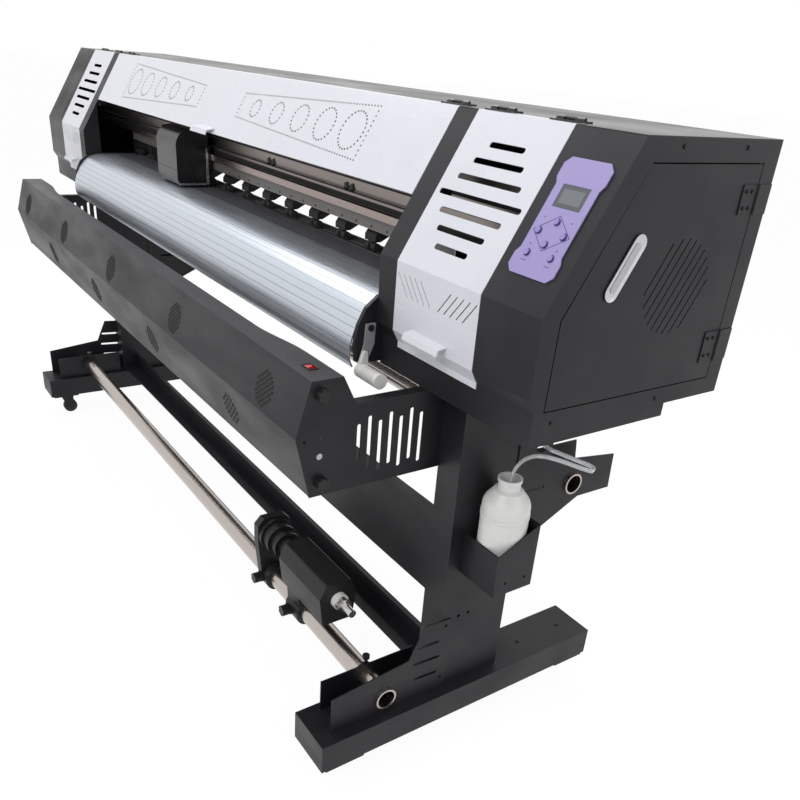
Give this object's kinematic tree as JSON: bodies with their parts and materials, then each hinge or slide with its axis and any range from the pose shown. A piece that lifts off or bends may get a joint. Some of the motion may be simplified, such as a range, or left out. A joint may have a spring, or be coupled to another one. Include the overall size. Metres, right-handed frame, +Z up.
{
  "type": "wide-format roll printer",
  "caption": "Wide-format inkjet roll printer on a wheeled stand, with hinged covers, sliding print carriage, front dryer and take-up unit.",
  "frame": {"origin": "on the floor under the middle of the machine's bounding box", "axes": "+X to the machine's right end with the keypad, -Y towards the operator at the front, +Z up"},
  "size_m": [2.71, 0.77, 1.3045],
  "materials": {
    "black_paint": "satin powder coat",
    "black_plastic": "satin",
    "white_paint": "gloss",
    "bed_steel": "matte, perforated",
    "platen_alu": "anodised, ribbed",
    "beam_alu": "anodised",
    "steel": "brushed",
    "zinc": "plated",
    "rubber": "matte",
    "lilac": "satin film",
    "key": "satin film",
    "red_plastic": "gloss",
    "hdpe": "satin",
    "hose": "clear limp tube",
    "white_plastic": "satin",
    "lamp": "quartz"
  },
  "bodies": {
    "machine": {"legs": "black_paint", "lower_beam": "black_paint", "cross_panel": "black_paint", "takeup_brackets": "black_paint", "rear_brackets": "black_paint", "steel_tubes": "steel", "dryer_housing": "black_paint", "dryer_ends": "black_paint", "heaters": "lamp", "thumb_screws": "black_plastic", "beam": "beam_alu", "rail": "steel", "belt": "rubber", "motors": "black_plastic", "platen": "platen_alu", "vacuum_bed": "bed_steel", "left_tower": "black_paint", "right_tower": "black_paint", "top_cover": "black_paint", "hinges": "black_paint", "keypad": "lilac", "capping_station": "white_plastic", "bottle_holder": "black_paint", "waste_bottle": "hdpe", "waste_tube_a": "hose", "waste_tube_b": "hose"},
    "caster_left_front": {"caster_fork_left_front": "zinc"},
    "wheel_left_front": {"caster_wheel_left_front": "rubber"},
    "caster_left_back": {"caster_fork_left_back": "zinc"},
    "wheel_left_back": {"caster_wheel_left_back": "rubber"},
    "caster_right_front": {"caster_fork_right_front": "zinc"},
    "wheel_right_front": {"caster_wheel_right_front": "rubber"},
    "caster_right_back": {"caster_fork_right_back": "zinc"},
    "wheel_right_back": {"caster_wheel_right_back": "rubber"},
    "takeup_motor": {"takeup_motor": "black_plastic"},
    "drive_chuck": {"drive_chuck": "steel"},
    "motor_knob": {"motor_knob": "black_plastic"},
    "roll_holder": {"roll_holder": "black_plastic"},
    "roll_cone": {"roll_cone": "black_plastic"},
    "holder_knob": {"holder_knob": "black_plastic"},
    "blower_rotor": {"blower_rotor": "black_plastic"},
    "rocker_switch": {"rocker_switch": "red_plastic"},
    "carriage": {"carriage": "black_plastic"},
    "drive_pulley": {"drive_pulley": "steel"},
    "idler_pulley": {"idler_pulley": "steel"},
    "grit_roller": {"grit_roller": "steel"},
    "pinch_arms": {"pinch_arms": "black_plastic"},
    "pinch_rollers": {"pinch_rollers": "rubber"},
    "pinch_lever": {"pinch_lever": "white_plastic"},
    "long_cover": {"long_cover": "white_paint"},
    "left_cover": {"left_cover": "white_paint"},
    "right_cover": {"right_cover": "white_paint"},
    "right_door": {"right_door": "black_paint"},
    "key_up": {"key_up": "key"},
    "key_down": {"key_down": "key"},
    "key_left": {"key_left": "key"},
    "key_right": {"key_right": "key"},
    "key_menu": {"key_menu": "key"},
    "key_enter": {"key_enter": "key"}
  },
  "joints": [
    {"name": "caster_left_front_swivel", "type": "hinge", "parent": "machine", "child": "caster_left_front", "pos_m": [-1.052, -0.312, 0.076], "axis": [0, 0, 1], "continuous": true},
    {"name": "caster_left_front_roll", "type": "hinge", "parent": "caster_left_front", "child": "wheel_left_front", "pos_m": [-1.052, -0.296, 0.025], "axis": [1, 0, 0], "continuous": true},
    {"name": "caster_left_back_swivel", "type": "hinge", "parent": "machine", "child": "caster_left_back", "pos_m": [-1.052, 0.33, 0.076], "axis": [0, 0, 1], "continuous": true},
    {"name": "caster_left_back_roll", "type": "hinge", "parent": "caster_left_back", "child": "wheel_left_back", "pos_m": [-1.052, 0.346, 0.025], "axis": [1, 0, 0], "continuous": true},
    {"name": "caster_right_front_swivel", "type": "hinge", "parent": "machine", "child": "caster_right_front", "pos_m": [1.052, -0.312, 0.076], "axis": [0, 0, 1], "continuous": true},
    {"name": "caster_right_front_roll", "type": "hinge", "parent": "caster_right_front", "child": "wheel_right_front", "pos_m": [1.052, -0.296, 0.025], "axis": [1, 0, 0], "continuous": true},
    {"name": "caster_right_back_swivel", "type": "hinge", "parent": "machine", "child": "caster_right_back", "pos_m": [1.052, 0.33, 0.076], "axis": [0, 0, 1], "continuous": true},
    {"name": "caster_right_back_roll", "type": "hinge", "parent": "caster_right_back", "child": "wheel_right_back", "pos_m": [1.052, 0.346, 0.025], "axis": [1, 0, 0], "continuous": true},
    {"name": "motor_slide", "type": "slide", "parent": "machine", "child": "takeup_motor", "axis": [1, 0, 0], "range_m": [0, 0.03]},
    {"name": "chuck_spin", "type": "hinge", "parent": "takeup_motor", "child": "drive_chuck", "pos_m": [0.8, -0.206, 0.308], "axis": [1, 0, 0], "continuous": true},
    {"name": "motor_knob_turn", "type": "hinge", "parent": "takeup_motor", "child": "motor_knob", "pos_m": [0.742, -0.244, 0.186], "axis": [0, 1, 0], "range_deg": [-180, 180]},
    {"name": "holder_slide", "type": "slide", "parent": "machine", "child": "roll_holder", "axis": [-1, 0, 0], "range_m": [0, 1.5]},
    {"name": "cone_spin", "type": "hinge", "parent": "roll_holder", "child": "roll_cone", "pos_m": [0.65, -0.206, 0.308], "axis": [1, 0, 0], "continuous": true},
    {"name": "holder_knob_turn", "type": "hinge", "parent": "roll_holder", "child": "holder_knob", "pos_m": [0.59, -0.244, 0.186], "axis": [0, 1, 0], "range_deg": [-180, 180]},
    {"name": "blower_spin", "type": "hinge", "parent": "machine", "child": "blower_rotor", "pos_m": [0, -0.338, 0.745], "axis": [1, 0, 0], "continuous": true},
    {"name": "dryer_switch_rock", "type": "hinge", "parent": "machine", "child": "rocker_switch", "pos_m": [0.975, -0.326, 0.8816], "axis": [0, 1, 0], "range_deg": [0, 16]},
    {"name": "carriage_slide", "type": "slide", "parent": "machine", "child": "carriage", "axis": [1, 0, 0], "range_m": [-0.74, 1.33]},
    {"name": "drive_pulley_spin", "type": "hinge", "parent": "machine", "child": "drive_pulley", "pos_m": [-1.25, -0.016, 1.114], "axis": [0, 1, 0], "continuous": true},
    {"name": "idler_pulley_spin", "type": "hinge", "parent": "machine", "child": "idler_pulley", "pos_m": [1.25, -0.016, 1.114], "axis": [0, 1, 0], "continuous": true},
    {"name": "grit_roller_spin", "type": "hinge", "parent": "machine", "child": "grit_roller", "pos_m": [0, 0.005, 0.979], "axis": [1, 0, 0], "continuous": true},
    {"name": "pinch_lift", "type": "hinge", "parent": "machine", "child": "pinch_arms", "pos_m": [0, 0.035, 1.04], "axis": [-1, 0, 0], "range_deg": [0, 12]},
    {"name": "pinch_roller_spin", "type": "hinge", "parent": "pinch_arms", "child": "pinch_rollers", "pos_m": [0, 0.005, 0.9988], "axis": [1, 0, 0], "continuous": true},
    {"name": "lever_lift", "type": "hinge", "parent": "machine", "child": "pinch_lever", "pos_m": [0.945, -0.188, 0.93], "axis": [-1, 0, 0], "range_deg": [0, 60]},
    {"name": "long_cover_hinge", "type": "hinge", "parent": "machine", "child": "long_cover", "pos_m": [0, -0.007, 1.301], "axis": [-1, 0, 0], "range_deg": [0, 100]},
    {"name": "left_cover_hinge", "type": "hinge", "parent": "machine", "child": "left_cover", "pos_m": [0, -0.007, 1.301], "axis": [-1, 0, 0], "range_deg": [0, 100]},
    {"name": "right_cover_hinge", "type": "hinge", "parent": "machine", "child": "right_cover", "pos_m": [0, -0.007, 1.301], "axis": [-1, 0, 0], "range_deg": [0, 100]},
    {"name": "right_door_hinge", "type": "hinge", "parent": "machine", "child": "right_door", "pos_m": [1.3525, 0.25, 1.09], "axis": [0, 0, 1], "range_deg": [0, 110]},
    {"name": "key_up_press", "type": "slide", "parent": "machine", "child": "key_up", "axis": [0, 0.8584, -0.513], "range_m": [0, 0.0015], "stiffness_N_per_m": 300},
    {"name": "key_down_press", "type": "slide", "parent": "machine", "child": "key_down", "axis": [0, 0.8584, -0.513], "range_m": [0, 0.0015], "stiffness_N_per_m": 300},
    {"name": "key_left_press", "type": "slide", "parent": "machine", "child": "key_left", "axis": [0, 0.8584, -0.513], "range_m": [0, 0.0015], "stiffness_N_per_m": 300},
    {"name": "key_right_press", "type": "slide", "parent": "machine", "child": "key_right", "axis": [0, 0.8584, -0.513], "range_m": [0, 0.0015], "stiffness_N_per_m": 300},
    {"name": "key_menu_press", "type": "slide", "parent": "machine", "child": "key_menu", "axis": [0, 0.8584, -0.513], "range_m": [0, 0.0015], "stiffness_N_per_m": 300},
    {"name": "key_enter_press", "type": "slide", "parent": "machine", "child": "key_enter", "axis": [0, 0.8584, -0.513], "range_m": [0, 0.0015], "stiffness_N_per_m": 300}
  ],
  "couplings": [
    {"joint": "drive_pulley_spin", "follows": "carriage_slide", "rad_per_m": -76.628},
    {"joint": "idler_pulley_spin", "follows": "carriage_slide", "rad_per_m": -76.628},
    {"joint": "pinch_lift", "follows": "lever_lift", "ratio": 0.2},
    {"joint": "pinch_roller_spin", "follows": "grit_roller_spin", "ratio": -1.1667}
  ]
}
